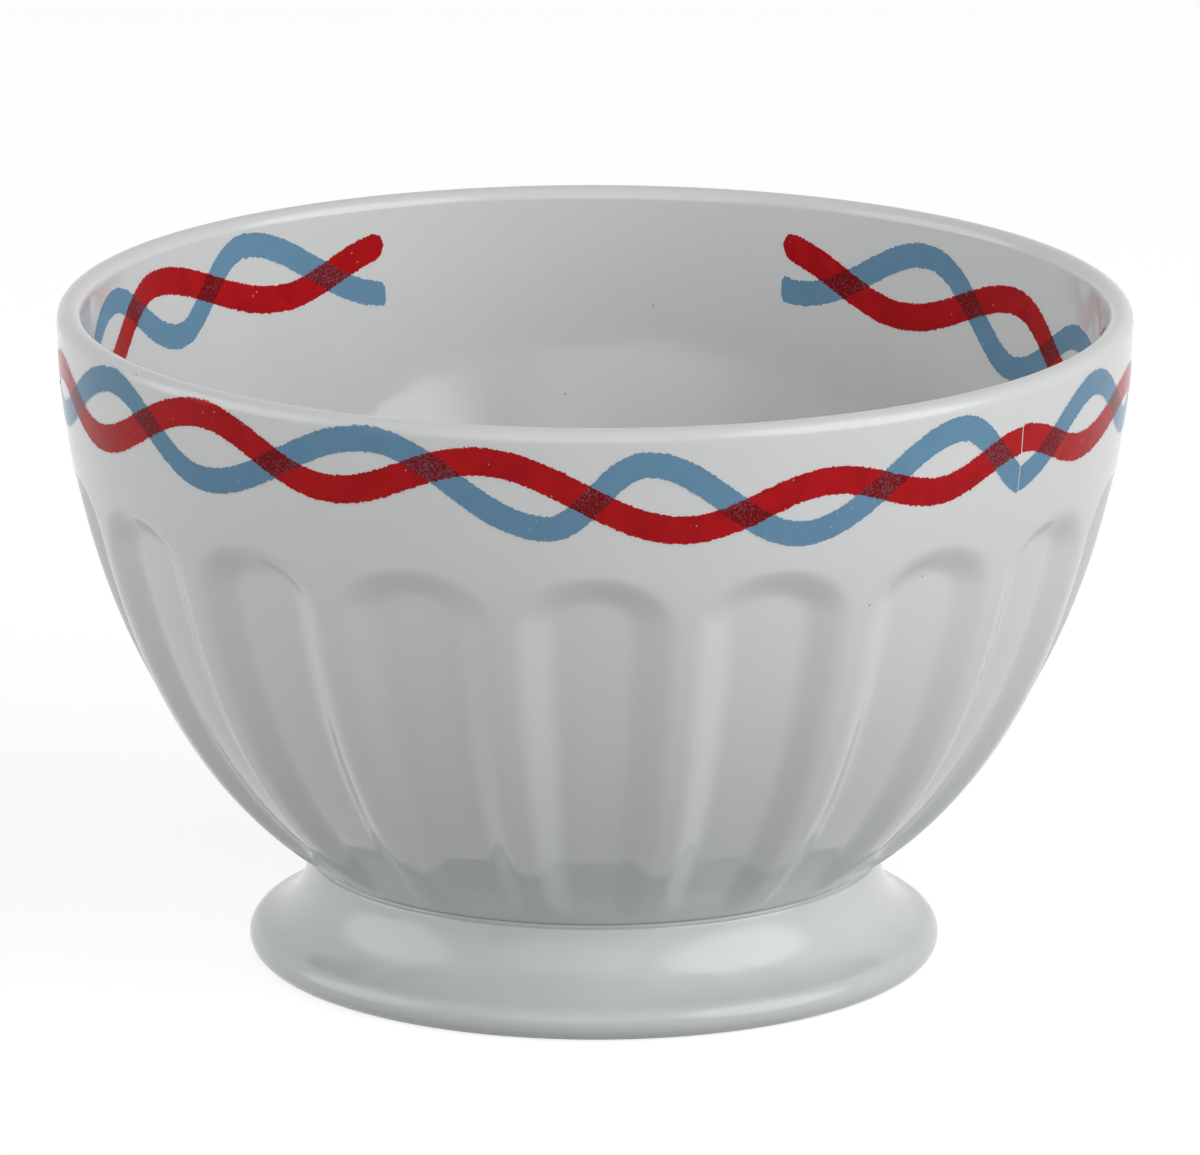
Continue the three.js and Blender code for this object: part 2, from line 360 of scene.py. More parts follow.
def soft_bend(start, aim, end, count):
    """Points of a curve from start to end that bends towards aim, both ends included."""
    points = []
    for i in range(count + 1):
        t = i / count
        points.append(start * (1 - t) ** 2 + aim * 2 * t * (1 - t) + end * t * t)
    return points


def spun(profile, steps):
    """A closed body spun about +Z from (radius, height) points, starting at the front."""
    bm = bmesh.new()
    points = [bm.verts.new((0, -point[0], point[1])) for point in profile]
    edges = [bm.edges.new(pair) for pair in zip(points, points[1:])]
    bmesh.ops.spin(
        bm, geom=points + edges, cent=(0, 0, 0), axis=(0, 0, 1), dvec=(0, 0, 0), angle=tau,
        steps=steps, use_merge=True,
    )
    bmesh.ops.remove_doubles(bm, verts=bm.verts, dist=MERGE_DISTANCE)
    bmesh.ops.recalc_face_normals(bm, faces=bm.faces)
    return bm


def finished(bm, name, node, material):
    """Makes the mesh an object that stands for a node and rides with the bowl."""
    if any(not edge.is_manifold for edge in bm.edges):
        raise RuntimeError(f"{name} is not closed")
    for edge in bm.edges:
        edge.smooth = edge.calc_face_angle() < SHARP_ANGLE
    mesh = bpy.data.meshes.new(name)
    bm.to_mesh(mesh)
    bm.free()
    mesh.polygons.foreach_set("use_smooth", [True] * len(mesh.polygons))
    mesh.materials.append(material)
    piece = bpy.data.objects.new(name, mesh)
    bpy.context.scene.collection.objects.link(piece)
    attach(piece, "root")
    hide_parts(node)


# Nodes and materials


def add_node(tree, kind, **settings):
    """A shader node with its settings. inputs is a list of (socket, value)."""
    node = tree.nodes.new(kind)
    for key, value in settings.items():
        if key == "inputs":
            for socket, plain_value in value:
                node.inputs[socket].default_value = plain_value
        else:
            setattr(node, key, value)
    return node


def ramp(tree, value, low, high, out_low=0.0, out_high=1.0):
    """A smooth step of a value from one range to another."""
    node = add_node(tree, "ShaderNodeMapRange", interpolation_type="SMOOTHSTEP")
    for socket, plain_value in zip((1, 2, 3, 4), (low, high, out_low, out_high)):
        node.inputs[socket].default_value = plain_value
    tree.links.new(value, node.inputs[0])
    return node.outputs[0]


def arithmetic(tree, operation, *operands):
    """A sum, product or other operation on sockets or numbers."""
    node = add_node(tree, "ShaderNodeMath", operation=operation)
    for socket, value in zip(node.inputs, operands):
        if isinstance(value, (int, float)):
            socket.default_value = value
        else:
            tree.links.new(value, socket)
    return node.outputs[0]


def mixed(tree, mask, first, second):
    """A mix of two colours by a mask. A colour is a socket or (red, green, blue)."""
    node = add_node(tree, "ShaderNodeMix", data_type="RGBA")
    tree.links.new(mask, node.inputs["Factor"])
    for socket, value in zip((node.inputs[6], node.inputs[7]), (first, second)):
        if isinstance(value, bpy.types.NodeSocket):
            tree.links.new(value, socket)
        else:
            socket.default_value = (*value, 1)
    return node.outputs[2]


def grain(tree, coords, scale, detail=2.0, roughness=0.5):
    """Noise of a given scale over the object's own coordinates."""
    node = add_node(
        tree,
        "ShaderNodeTexNoise",
        inputs=[("Scale", scale), ("Detail", detail), ("Roughness", roughness)],
    )
    tree.links.new(coords, node.inputs["Vector"])
    return node.outputs["Fac"]


def new_group(name, inputs, outputs):
    """An empty shader node group with named sockets, and its input and output nodes."""
    group = bpy.data.node_groups.new(name, "ShaderNodeTree")
    for socket, kind, default in inputs:
        made = group.interface.new_socket(name=socket, in_out="INPUT", socket_type=kind)
        made.default_value = default
    for socket, kind in outputs:
        group.interface.new_socket(name=socket, in_out="OUTPUT", socket_type=kind)
    return group, group.nodes.new("NodeGroupInput"), group.nodes.new("NodeGroupOutput")


FINISH_OUTPUTS = (
    ("Color", "NodeSocketColor"),
    ("Roughness", "NodeSocketFloat"),
    ("Height", "NodeSocketFloat"),
)


def glaze_group():
    """Clear glaze over white clay: a tint that pools low down together with painted shade that
    darkens it towards the bottom, sparse specks and faint waves.
    """
    if "Porcelain glaze" in bpy.data.node_groups:
        return bpy.data.node_groups["Porcelain glaze"]
    tree, given, out = new_group(
        "Porcelain glaze",
        [
            ("Thin", "NodeSocketColor", (1, 1, 1, 1)),
            ("Pooled And Shaded", "NodeSocketColor", (1, 1, 1, 1)),
            ("Speck", "NodeSocketColor", (0, 0, 0, 1)),
            ("Pool And Shade Low", "NodeSocketFloat", 0.0),
            ("Pool And Shade High", "NodeSocketFloat", 0.1),
        ],
        FINISH_OUTPUTS,
    )
    coords = add_node(tree, "ShaderNodeTexCoord").outputs["Object"]
    height = add_node(tree, "ShaderNodeSeparateXYZ")
    tree.links.new(coords, height.inputs[0])
    cloud = grain(tree, coords, GLAZE_CLOUDS, 3.0)
    drift = arithmetic(tree, "MULTIPLY_ADD", cloud, POOL_AND_SHADE_DRIFT, -POOL_AND_SHADE_DRIFT / 2)
    level = arithmetic(tree, "ADD", height.outputs["Z"], drift)
    pool_and_shade = add_node(tree, "ShaderNodeMapRange", interpolation_type="SMOOTHSTEP")
    tree.links.new(level, pool_and_shade.inputs[0])
    tree.links.new(given.outputs["Pool And Shade Low"], pool_and_shade.inputs[1])
    tree.links.new(given.outputs["Pool And Shade High"], pool_and_shade.inputs[2])
    pool_and_shade.inputs[3].default_value = 1.0
    pool_and_shade.inputs[4].default_value = 0.0
    # Painted shade: the colour darkens towards the bottom, more than thick glaze alone would.
    tinted_and_shaded = mixed(tree, pool_and_shade.outputs[0], given.outputs["Thin"], given.outputs["Pooled And Shaded"])
    cells = add_node(tree, "ShaderNodeTexVoronoi", inputs=[("Scale", CLAY_SPECKS)])
    tree.links.new(coords, cells.inputs["Vector"])
    dot = ramp(tree, cells.outputs["Distance"], *SPECK_EDGE, SPECK_STRENGTH, 0.0)
    tree.links.new(mixed(tree, dot, tinted_and_shaded, given.outputs["Speck"]), out.inputs["Color"])
    gloss = ramp(tree, grain(tree, coords, GLAZE_GLOSS_GRAIN), 0.3, 0.7, *GLAZE_ROUGHNESS)
    tree.links.new(gloss, out.inputs["Roughness"])
    ripples = arithmetic(tree, "MULTIPLY", grain(tree, coords, GLAZE_RIPPLES, 1.0), RIPPLE_SHARE)
    waves = arithmetic(tree, "ADD", grain(tree, coords, GLAZE_WAVES, 1.0), ripples)
    tree.links.new(waves, out.inputs["Height"])
    return tree


def print_group():
    """Fired transfer print: mottled ink, pinholes, speckled crossings, frayed edge, fine tooth."""
    if "Fired print" in bpy.data.node_groups:
        return bpy.data.node_groups["Fired print"]
    tree, given, out = new_group(
        "Fired print",
        [
            ("Ink", "NodeSocketColor", (1, 0, 0, 1)),
            ("Deep Ink", "NodeSocketColor", (0.5, 0, 0, 1)),
            ("Show Through", "NodeSocketColor", (0.5, 0.5, 0.5, 1)),
            ("Glaze", "NodeSocketColor", (1, 1, 1, 1)),
            ("Under", "NodeSocketColor", (1, 1, 1, 1)),
            ("Crossing", "NodeSocketFloat", 0.0),
            ("Edge", "NodeSocketFloat", -1.0),
        ],
        FINISH_OUTPUTS,
    )
    coords = add_node(tree, "ShaderNodeTexCoord").outputs["Object"]
    grit = grain(tree, coords, PRINT_GRIT, 2.0, 0.6)
    cloud = grain(tree, coords, PRINT_CLOUDS, 3.0, 0.6)
    stray = arithmetic(tree, "MULTIPLY_ADD", grit, 0.9, -0.45)
    over = arithmetic(tree, "ADD", given.outputs["Crossing"], stray)
    crossing = ramp(tree, over, 0.35, 0.65, 0.0, CROSSING_STRENGTH)
    ink = mixed(tree, crossing, given.outputs["Ink"], given.outputs["Deep Ink"])
    mottle = ramp(tree, cloud, 0.35, 0.7, 0.0, MOTTLE_STRENGTH)
    shade = mixed(tree, mottle, ink, given.outputs["Deep Ink"])
    thin = ramp(tree, grain(tree, coords, PRINT_THIN_PATCHES, 1.0), 0.42, 0.62, 0.58, 0.48)
    gaps = arithmetic(tree, "SUBTRACT", grain(tree, coords, PRINT_SPECKLE, 1.0), thin)
    speckle = ramp(tree, gaps, 0.0, 0.08, 0.0, SPECKLE_STRENGTH)
    speckle = arithmetic(tree, "MULTIPLY", speckle, crossing)
    speckled = mixed(tree, speckle, shade, given.outputs["Show Through"])
    fray = arithmetic(tree, "MULTIPLY_ADD", grit, FRAY, -FRAY / 2)
    fringe = ramp(tree, arithmetic(tree, "ADD", given.outputs["Edge"], fray), -0.35, 0.35)
    cells = add_node(tree, "ShaderNodeTexVoronoi", inputs=[("Scale", PRINT_PINHOLES)])
    tree.links.new(coords, cells.inputs["Vector"])
    pinhole = ramp(tree, cells.outputs["Distance"], *PINHOLE_EDGE, PINHOLE_STRENGTH, 0.0)
    bare = arithmetic(tree, "MAXIMUM", fringe, pinhole)
    on_blue = ramp(tree, given.outputs["Crossing"], 0.4, 0.6)
    ground = mixed(tree, on_blue, given.outputs["Glaze"], given.outputs["Under"])
    tree.links.new(mixed(tree, bare, speckled, ground), out.inputs["Color"])
    tree.links.new(ramp(tree, grit, 0.3, 0.7, *PRINT_ROUGHNESS), out.inputs["Roughness"])
    tree.links.new(grain(tree, coords, PRINT_TOOTH, 2.0), out.inputs["Height"])
    return tree


def shaded_material(name, group, bump_distance, bump_strength):
    """A material with colour, gloss and bump from a group. Also gives its tree and that node."""
    material = bpy.data.materials.new(name)
    material.use_nodes = True
    tree = material.node_tree
    shader = tree.nodes["Principled BSDF"]
    shader.inputs["IOR"].default_value = GLAZE_IOR
    made = add_node(tree, "ShaderNodeGroup", node_tree=group)
    bump = add_node(
        tree, "ShaderNodeBump", inputs=[("Distance", bump_distance), ("Strength", bump_strength)]
    )
    tree.links.new(made.outputs["Height"], bump.inputs["Height"])
    tree.links.new(bump.outputs["Normal"], shader.inputs["Normal"])
    tree.links.new(made.outputs["Color"], shader.inputs["Base Color"])
    tree.links.new(made.outputs["Roughness"], shader.inputs["Roughness"])
    return material, tree, made


def glaze_material(name, pooled_and_shaded, pool_and_shade_low, pool_and_shade_high):
    """Glossy white glaze. It takes its darker lower colour, thick-glaze tint and painted shade
    together, from the upper to the lower of two heights.
    """
    colours = bpy.context.scene.bowl_finish
    material, tree, glaze = shaded_material(name, glaze_group(), *GLAZE_BUMP)
    glaze.inputs["Thin"].default_value = (*colours.glaze, 1)
    glaze.inputs["Pooled And Shaded"].default_value = (*pooled_and_shaded, 1)
    glaze.inputs["Speck"].default_value = (*colours.speck, 1)
    glaze.inputs["Pool And Shade Low"].default_value = pool_and_shade_low
    glaze.inputs["Pool And Shade High"].default_value = pool_and_shade_high
    return material, tree, glaze


def footed_glaze_material():
    """Glaze that stops short of the table and leaves the ground standing ring bare."""
    colours = bpy.context.scene.bowl_finish
    clay = colours.bare_clay
    # The foot's colour is darkened as painted shade, to dim the highlights that the lights and sky
    # lay on its flare.
    material, tree, glaze = glaze_material("Foot glaze", colours.foot_glaze_and_shade, *FOOT_POOL_AND_SHADE)
    shader = tree.nodes["Principled BSDF"]
    coords = add_node(tree, "ShaderNodeTexCoord").outputs["Object"]
    height = add_node(tree, "ShaderNodeSeparateXYZ")
    tree.links.new(coords, height.inputs[0])
    uneven = grain(tree, coords, GLAZE_LINE_GRAIN)
    drift = arithmetic(tree, "MULTIPLY_ADD", uneven, GLAZE_LINE_WANDER, -GLAZE_LINE_WANDER / 2)
    level = arithmetic(tree, "ADD", height.outputs["Z"], drift)
    bare = ramp(tree, level, *GLAZE_LINE, 1.0, 0.0)
    grit = ramp(tree, grain(tree, coords, BARE_CLAY_GRIT), 0.3, 0.7, 0.0, 0.35)
    ground = mixed(tree, grit, tuple(clay), tuple(DARK_CLAY * part for part in clay))
    tree.links.new(mixed(tree, bare, glaze.outputs["Color"], ground), shader.inputs["Base Color"])
    rough = add_node(tree, "ShaderNodeMix", data_type="FLOAT", inputs=[("B", CLAY_ROUGHNESS)])
    tree.links.new(bare, rough.inputs["Factor"])
    softer = arithmetic(tree, "ADD", glaze.outputs["Roughness"], FOOT_EXTRA_ROUGHNESS)
    tree.links.new(softer, rough.inputs["A"])
    tree.links.new(rough.outputs[0], shader.inputs["Roughness"])
    return material


def print_material(name, ink, deep_ink, show_through):
    """Glossy printed ribbon with ragged edges."""
    material, tree, film = shaded_material(name, print_group(), *PRINT_BUMP)
    tree.nodes["Principled BSDF"].inputs["Specular IOR Level"].default_value = PRINT_SPECULAR
    colours = bpy.context.scene.bowl_finish
    film.inputs["Ink"].default_value = (*ink, 1)
    film.inputs["Deep Ink"].default_value = (*deep_ink, 1)
    film.inputs["Show Through"].default_value = (*show_through, 1)
    film.inputs["Glaze"].default_value = (*colours.glaze, 1)
    film.inputs["Under"].default_value = (*colours.blue, 1)
    for socket, attribute in (("Crossing", "crossing"), ("Edge", "edge")):
        source = add_node(tree, "ShaderNodeAttribute", attribute_name=attribute)
        tree.links.new(source.outputs["Fac"], film.inputs[socket])
    return material


def red_print():
    """The red ribbons' material, made once."""
    colours = bpy.context.scene.bowl_finish
    return bpy.data.materials.get("Red print") or print_material(
        "Red print", colours.red, colours.red_over_blue, colours.blue_through_red
    )


def blue_print():
    """The blue ribbons' material, made once."""
    blue = bpy.context.scene.bowl_finish.blue
    deep_blue = tuple(DEEP_BLUE * part for part in blue)
    return bpy.data.materials.get("Blue print") or print_material(
        "Blue print", blue, deep_blue, blue
    )


# Bowl, foot and slip


def flute_depth(turn, z, scene, walls):
    """Depth of the flutes: scoops with rolled sides and arched tops, one centred on the front."""
    flute = scene.bowl_flutes
    pitch = tau / flute.count
    radius = walls.outer(z)
    offset = turn - pitch * round(turn / pitch)
    across = offset / ((pitch - flute.ridge_width / radius) / 2)
    arch_z = scene.bowl_body.height - flute.drop - flute.arch_height
    into_arch = max(0.0, (z - arch_z) / flute.arch_height)
    scoop = 1 - smoothstep(hypot(across, into_arch), flute.floor_share, 1.0)
    fade = smoothstep(z, walls.neck_z, walls.neck_z + flute.fade)
    return flute.depth * scoop * fade


class BOWL_OT_body(bpy.types.Operator):
    """Spin the bowl's wall and floor and press the flutes into its outside"""

    bl_idname = "footed_bowl.body"
    bl_label = "Fluted bowl"

    def execute(self, context):
        scene = context.scene
        body, flute, walls = scene.bowl_body, scene.bowl_flutes, Walls(scene)
        flute_top = body.height - flute.drop
        arch_z = flute_top - flute.arch_height
        lip_z = walls.lip_z
        base = body.base_round
        fade_z = walls.neck_z + flute.fade
        corner = soft_bend(
            Vector((walls.outer(walls.neck_z) - base, walls.neck_z)),
            Vector((walls.outer(walls.neck_z), walls.neck_z)),
            Vector((walls.outer(walls.neck_z + base), walls.neck_z + base)),
            CORNER_ROWS,
        )[:-1]
        outside = (
            wall_points(walls.outer, walls.neck_z + base, fade_z, FADE_ROWS)
            + wall_points(walls.outer, fade_z, arch_z, FLUTE_ROWS)
            + wall_points(walls.outer, arch_z, flute_top, ARCH_ROWS)
            + wall_points(walls.outer, flute_top, lip_z, BORDER_ROWS)
        )
        lip = arc((walls.lip_middle, lip_z), walls.lip_half, walls.lip_radius, 0, pi, LIP_ROWS)
        curve_z = walls.floor_z + body.floor_curve
        inside = wall_points(walls.inner, lip_z, curve_z, INSIDE_ROWS)[1:]
        wall_foot = Vector((walls.inner(curve_z), curve_z))
        heel = Vector((walls.heel, walls.floor_z))
        floor_edge = Vector((walls.heel - (heel - wall_foot).length, walls.floor_z))
        floor = soft_bend(wall_foot, heel, floor_edge, HEEL_ROWS)
        profile = (
            [Vector((0, walls.neck_z))] + corner + outside + lip + inside + floor
            + [Vector((floor_edge.x / 2, walls.floor_z)), Vector((0, walls.floor_z))]
        )
        bm = spun(profile, flute.count * STEPS_PER_FLUTE)
        for point in bm.verts:
            radius = hypot(point.co.x, point.co.y)
            z = point.co.z
            if walls.neck_z + base <= z <= flute_top and abs(radius - walls.outer(z)) < base:
                turn = atan2(point.co.x, -point.co.y)
                shrink = 1 - flute_depth(turn, z, scene, walls) / radius
                point.co.x *= shrink
                point.co.y *= shrink
        # The lower bowl and its inside floor darken partly as painted shade, not only as thick
        # glaze.
        pooled_and_shaded = scene.bowl_finish.pooled_glaze_and_shade
        material = glaze_material("Bowl glaze", pooled_and_shaded, *BOWL_POOL_AND_SHADE)[0]
        finished(bm, "fluted_bowl", "bowl", material)
        return {"FINISHED"}


class BOWL_OT_foot(bpy.types.Operator):
    """Spin the flared, hollow foot with its rounded edge and flat standing ring"""

    bl_idname = "footed_bowl.foot"
    bl_label = "Flared foot"

    def execute(self, context):
        foot = context.scene.bowl_foot
        neck = context.scene.bowl_body.neck_diameter / 2
        top_z = foot.height - foot.slip_thickness
        edge_x = foot.diameter / 2 - foot.edge_radius
        bend = foot.edge_radius
        edge = arc((edge_x, bend), bend, bend, -pi / 2, foot.edge_lean, FOOT_EDGE_ROWS)
        lean = Vector((-sin(foot.edge_lean), cos(foot.edge_lean)))
        neck_end = Vector((neck, top_z - FOOT_TOP_ROUND))
        flare_aim = edge[-1] + foot.flare_sweep * lean
        flare = soft_bend(edge[-1], flare_aim, neck_end, FOOT_FLARE_ROWS)[1:]
        top_end = Vector((neck - FOOT_TOP_ROUND, top_z))
        top = soft_bend(neck_end, Vector((neck, top_z)), top_end, CORNER_ROWS)[1:]
        ring_inside = edge_x - foot.ring_width
        neck_inside = neck - foot.neck_wall
        toe = soft_bend(
            Vector((ring_inside - RING_LEAN, RING_ROUND)),
            Vector((ring_inside, 0)),
            Vector((ring_inside + RING_ROUND, 0)),
            TOE_ROWS,
        )
        hollow_top = Vector((neck_inside, top_z))
        hollow = [hollow_top.lerp(toe[0], i / FOOT_HOLLOW_ROWS) for i in range(FOOT_HOLLOW_ROWS)]
        profile = toe + edge + flare + top + hollow + toe[:1]
        bm = spun(profile, FOOT_STEPS)
        finished(bm, "flared_foot", "foot", footed_glaze_material())
        return {"FINISHED"}


class BOWL_OT_slip(bpy.types.Operator):
    """Spin the ring of slip that holds the foot and shows as a crease at the neck"""

    bl_idname = "footed_bowl.slip"
    bl_label = "Slip at the neck"

    def execute(self, context):
        foot = context.scene.bowl_foot
        neck = context.scene.bowl_body.neck_diameter / 2
        low = foot.height - foot.slip_thickness
        inside = neck - foot.neck_wall
        face = soft_bend(
            Vector((neck - SLIP_INSET, low)),
            Vector((neck - 2 * foot.slip_hollow, (low + foot.height) / 2)),
            Vector((neck - SLIP_INSET, foot.height)),
            SLIP_ROWS,
        )
        low_corner = Vector((inside, low))
        profile = [low_corner] + face + [Vector((inside, foot.height)), low_corner]
        bm = spun(profile, FOOT_STEPS)
        # The slip takes the foot's colour, darkened as painted shade.
        pooled_and_shaded = context.scene.bowl_finish.foot_glaze_and_shade
        material = glaze_material("Slip glaze", pooled_and_shaded, *SLIP_POOL_AND_SHADE)[0]
        finished(bm, "neck_slip", "slip_joint", material)
        return {"FINISHED"}


# Printed border


def ribbon_path(rows, height):
    """The height of a ribbon's centre line at an angle in degrees, in half waves between turns."""
    first, last = rows
    other, start = first[-2:]
    step = (last[0][0] - start[0]) / (2 * EVEN_WAVES)
    between = [
        (start[0] + step * i, other[1] if i % 2 else start[1]) for i in range(1, 2 * EVEN_WAVES)
    ]
    turns = [*first, *between, *last]

    def height_at(turn):
        index = next((i for i, (at, _) in enumerate(turns) if at > turn), len(turns) - 1)
        (from_turn, from_drop), (to_turn, to_drop) = turns[max(1, index) - 1], turns[max(1, index)]
        part = (1 - cos(pi * (turn - from_turn) / (to_turn - from_turn))) / 2
        return height - MM * (from_drop + (to_drop - from_drop) * part)

    return height_at


def half_width(path, turn, width, radius):
    """Half the upright extent of a ribbon where its centre line slopes."""
    ahead = 0.5
    slope = (path(turn + ahead) - path(turn - ahead)) / (2 * radians(ahead) * radius)
    return width / 2 * hypot(1, slope)


def wander(turn, row):
    """A ragged edge's offset as a share, from a coarse and a fine noise that never change."""

    def layer(waves, spread, cut):
        return noise.noise(Vector((turn * waves, row * spread, cut)))

    return layer(*COARSE_RAG) + FINE_SHARE * layer(*FINE_RAG)


def ribbon(
    name, node, slot, material, path, from_turn, to_turn, width, face, outward, ends, under=None
):
    """A printed film along a centre line on a face of the wall, given as the radius at a height.

    outward is 1 on the outside and -1 on the inside, ends is the radius of the film's rounded
    corners, and under is the centre line and width of the ribbon that it crosses.
    """
    border = bpy.context.scene.bowl_border
    reach = radians(abs(to_turn - from_turn)) * face(RIBBON_LENGTH_Z)
    bm = bmesh.new()
    edge_layer = bm.verts.layers.float.new("edge")
    crossing_layer = bm.verts.layers.float.new("crossing")
    bmesh.ops.create_grid(
        bm, x_segments=round(reach / border.step), y_segments=RIBBON_ROWS, size=1.0
    )
    for point in bm.verts:
        along, side = (point.co.x + 1) / 2, point.co.y
        turn = from_turn + (to_turn - from_turn) * along
        centre = path(turn)
        half = half_width(path, turn, width, face(centre))
        from_end = min(along, 1 - along) * reach
        if from_end < ends:
            half -= (ends - sqrt(ends**2 - (ends - from_end) ** 2)) * END_SHARE
        half += border.ragged * wander(turn, side) * abs(side) ** 3
        across = side * (half + border.fringe)
        z = centre + across
        point[edge_layer] = (abs(across) - half) / border.fringe
        lift = border.clearance + border.film
        if under:
            under_path, under_width = under
            away = abs(z - under_path(turn)) / half_width(under_path, turn, under_width, face(z))
            point[crossing_layer] = 1 - smoothstep(away, *CROSSING_EDGE)
            lift *= 2 - smoothstep(away, *CLIMB)
        radius, around = face(z) + outward * lift, radians(turn)
        point.co = (radius * sin(around), -radius * cos(around), z)
    bmesh.ops.triangulate(bm, faces=bm.faces[:])
    bmesh.ops.solidify(bm, geom=bm.faces[:], thickness=border.film)
    finished(bm, name, node, material)


class BOWL_OT_outer_border(bpy.types.Operator):
    """Lay the blue and the red ribbon round the outside of the bowl"""

    bl_idname = "footed_bowl.outer_border"
    bl_label = "Outer border"

    def execute(self, context):
        scene = context.scene
        border, height, walls = scene.bowl_border, scene.bowl_body.height, Walls(scene)
        blue, red = ribbon_path(OUTER_BLUE_TURNS, height), ribbon_path(OUTER_RED_TURNS, height)
        half_gap = border.seam_gap / 2
        span = degrees(border.seam_angle + half_gap), degrees(border.seam_angle - half_gap) + 360
        ribbon(
            "outer_ribbon_blue", "outer_blue_ribbon", "blue_print", blue_print(),
            blue, *span, border.blue_width, walls.outside, 1, SEAM_ROUND,
        )
        ribbon(
            "outer_ribbon_red", "outer_red_ribbon", "red_print", red_print(),
            red, *span, border.red_width, walls.outside, 1, SEAM_ROUND, (blue, border.blue_width),
        )
        return {"FINISHED"}


class BOWL_OT_inner_border(bpy.types.Operator):
    """Lay the blue and the red ribbon round the inside, with a bare place at the back"""

    bl_idname = "footed_bowl.inner_border"
    bl_label = "Inner border"

    def execute(self, context):
        scene = context.scene
        border, height, walls = scene.bowl_border, scene.bowl_body.height, Walls(scene)
        blue, red = ribbon_path(INNER_BLUE_TURNS, height), ribbon_path(INNER_RED_TURNS, height)
        span = (degrees(border.inner_end), degrees(border.inner_start))
        ribbon(
            "inner_ribbon_blue", "inner_blue_ribbon", "blue_print", blue_print(),
            blue, *span, border.blue_width, walls.inner, -1, BLUE_END_ROUND,
        )
        ribbon(
            "inner_ribbon_red", "inner_red_ribbon", "red_print", red_print(),
            red, *span, border.red_width, walls.inner, -1, border.red_width / 2,
            (blue, border.blue_width),
        )
        return {"FINISHED"}


# Stage


def seen_rays(tree):
    """1 for rays that show the background: from the camera, a mirror or glass. 0 for lighting."""
    paths = add_node(tree, "ShaderNodeLightPath").outputs
    seen = arithmetic(tree, "MAXIMUM", paths["Is Camera Ray"], paths["Is Transmission Ray"])
    return arithmetic(tree, "MAXIMUM", seen, paths["Is Glossy Ray"])


def floor_material():
    """Plain pale table, white to the camera, that keeps the bowl's shadow."""
    material = bpy.data.materials.new("Pale table")
    material.use_nodes = True
    tree = material.node_tree
    shader = tree.nodes["Principled BSDF"]
    pale = bpy.context.scene.bowl_finish.floor
    coords = add_node(tree, "ShaderNodeTexCoord").outputs["Object"]
    tone = ramp(tree, grain(tree, coords, TABLE_CLOUDS), 0.3, 0.7, 0.0, 0.03)
    colour_over = mixed(tree, tone, tuple(pale), tuple(DARK_TABLE * part for part in pale))
    tree.links.new(colour_over, shader.inputs["Base Color"])
    shader.inputs["Roughness"].default_value = 0.9
    shader.inputs["Specular IOR Level"].default_value = 0.0
    shader.inputs["Emission Color"].default_value = (1, 1, 1, 1)
    glow = arithmetic(tree, "MULTIPLY", seen_rays(tree), TABLE_GLOW)
    tree.links.new(glow, shader.inputs["Emission Strength"])
    return material


def soft_light(name, turn, elevation, distance, size, power):
    """A soft light that fades to its edges, turned towards the bowl."""
    data = bpy.data.lights.new(name, "AREA")
    data.size = size
    data.energy = power
    data.use_nodes = True
    tree = data.node_tree
    place = add_node(tree, "ShaderNodeNewGeometry").outputs["Parametric"]
    from_middle = add_node(tree, "ShaderNodeVectorMath", operation="DISTANCE")
    from_middle.inputs[1].default_value = (0.5, 0.5, 0)
    tree.links.new(place, from_middle.inputs[0])
    fade = ramp(tree, from_middle.outputs["Value"], *LIGHT_FADE, 1.0, 0.0)
    tree.links.new(fade, tree.nodes["Emission"].inputs["Strength"])
    light = bpy.data.objects.new(name, data)
    bpy.context.scene.collection.objects.link(light)
    around, up = radians(turn), radians(elevation)
    towards = Vector((sin(around) * cos(up), -cos(around) * cos(up), sin(up)))
    light.location = Vector((0, 0, LIGHT_AIM_Z)) + distance * towards
    light.rotation_euler = towards.to_track_quat("Z", "Y").to_euler()


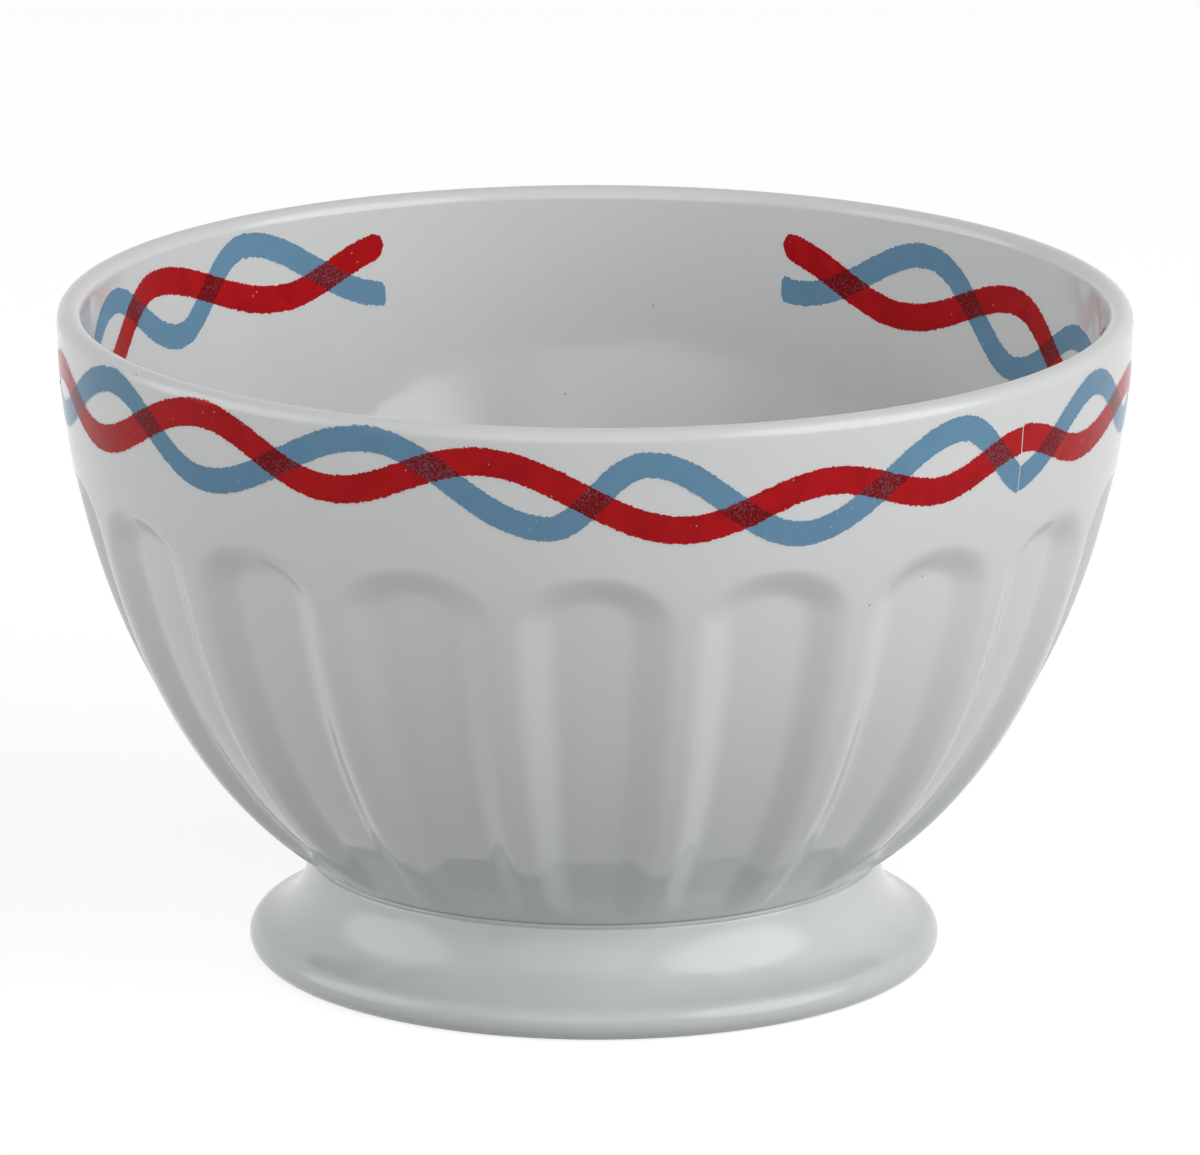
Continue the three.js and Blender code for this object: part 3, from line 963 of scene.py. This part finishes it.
class BOWL_OT_stage(bpy.types.Operator):
    """Set up the pale table, the soft lights and the camera"""

    bl_idname = "footed_bowl.stage"
    bl_label = "Stage"

    def execute(self, context):
        scene = context.scene
        stage = scene.bowl_stage
        bm = bmesh.new()
        bmesh.ops.create_grid(
            bm,
            x_segments=TABLE_SEGMENTS,
            y_segments=TABLE_SEGMENTS,
            size=stage.floor_size / 2,
        )
        bmesh.ops.translate(bm, verts=bm.verts, vec=(0, 0, -TABLE_DROP))
        mesh = bpy.data.meshes.new("table")
        bm.to_mesh(mesh)
        bm.free()
        mesh.materials.append(floor_material())
        table = bpy.data.objects.new("table", mesh)
        scene.collection.objects.link(table)

        for light in LIGHTS:
            soft_light(*light)

        world = bpy.data.worlds.new("studio")
        world.use_nodes = True
        scene.world = world
        tree = world.node_tree
        back = tree.nodes["Background"]
        back.inputs["Color"].default_value = (1, 1, 1, 1)
        direction = add_node(tree, "ShaderNodeSeparateXYZ")
        coords = add_node(tree, "ShaderNodeTexCoord").outputs["Generated"]
        tree.links.new(coords, direction.inputs[0])
        sky = ramp(tree, direction.outputs["Z"], *SKY_HEIGHTS, *SKY_STRENGTHS)
        strength = arithmetic(tree, "MAXIMUM", seen_rays(tree), sky)
        tree.links.new(strength, back.inputs["Strength"])

        data = bpy.data.cameras.new("camera")
        data.sensor_width = SENSOR_WIDTH
        data.lens = stage.camera_lens
        data.shift_y = CAMERA_SHIFT_UP
        camera = bpy.data.objects.new("camera", data)
        scene.collection.objects.link(camera)
        down = stage.camera_elevation
        away = stage.camera_distance
        camera.location = (0, -away * cos(down), stage.camera_height + away * sin(down))
        camera.rotation_euler = (pi / 2 - down, CAMERA_ROLL, 0)
        scene.camera = camera
        scene.view_settings.view_transform = "Standard"
        return {"FINISHED"}


class VIEW3D_PT_footed_bowl(bpy.types.Panel):
    """Sizes and pieces of the bowl"""

    bl_label = "Footed bowl"
    bl_idname = "VIEW3D_PT_footed_bowl"
    bl_space_type = "VIEW_3D"
    bl_region_type = "UI"
    bl_category = "Bowl"

    def draw(self, context):
        for attribute, group in SETTINGS.items():
            box = self.layout.box()
            for name in group.__annotations__:
                box.prop(getattr(context.scene, attribute), name)
        for operator in OPERATORS:
            self.layout.operator(operator.bl_idname)


SETTINGS = {
    "bowl_body": BowlBodySizes,
    "bowl_flutes": BowlFluteSizes,
    "bowl_foot": BowlFootSizes,
    "bowl_border": BowlBorderSizes,
    "bowl_finish": BowlFinishColours,
    "bowl_stage": BowlStageSizes,
}
OPERATORS = (
    BOWL_OT_body,
    BOWL_OT_foot,
    BOWL_OT_slip,
    BOWL_OT_outer_border,
    BOWL_OT_inner_border,
    BOWL_OT_stage,
)
CLASSES = (*SETTINGS.values(), *OPERATORS, VIEW3D_PT_footed_bowl)


def register():
    for item in CLASSES:
        bpy.utils.register_class(item)
    for attribute, group in SETTINGS.items():
        setattr(bpy.types.Scene, attribute, bpy.props.PointerProperty(type=group))


def unregister():
    for attribute in SETTINGS:
        delattr(bpy.types.Scene, attribute)
    for item in reversed(CLASSES):
        bpy.utils.unregister_class(item)


def main():
    register()
    bpy.ops.footed_bowl.body()
    bpy.ops.footed_bowl.foot()
    bpy.ops.footed_bowl.slip()
    bpy.ops.footed_bowl.outer_border()
    bpy.ops.footed_bowl.inner_border()
    bpy.ops.footed_bowl.stage()


if __name__ == "__main__":
    main()
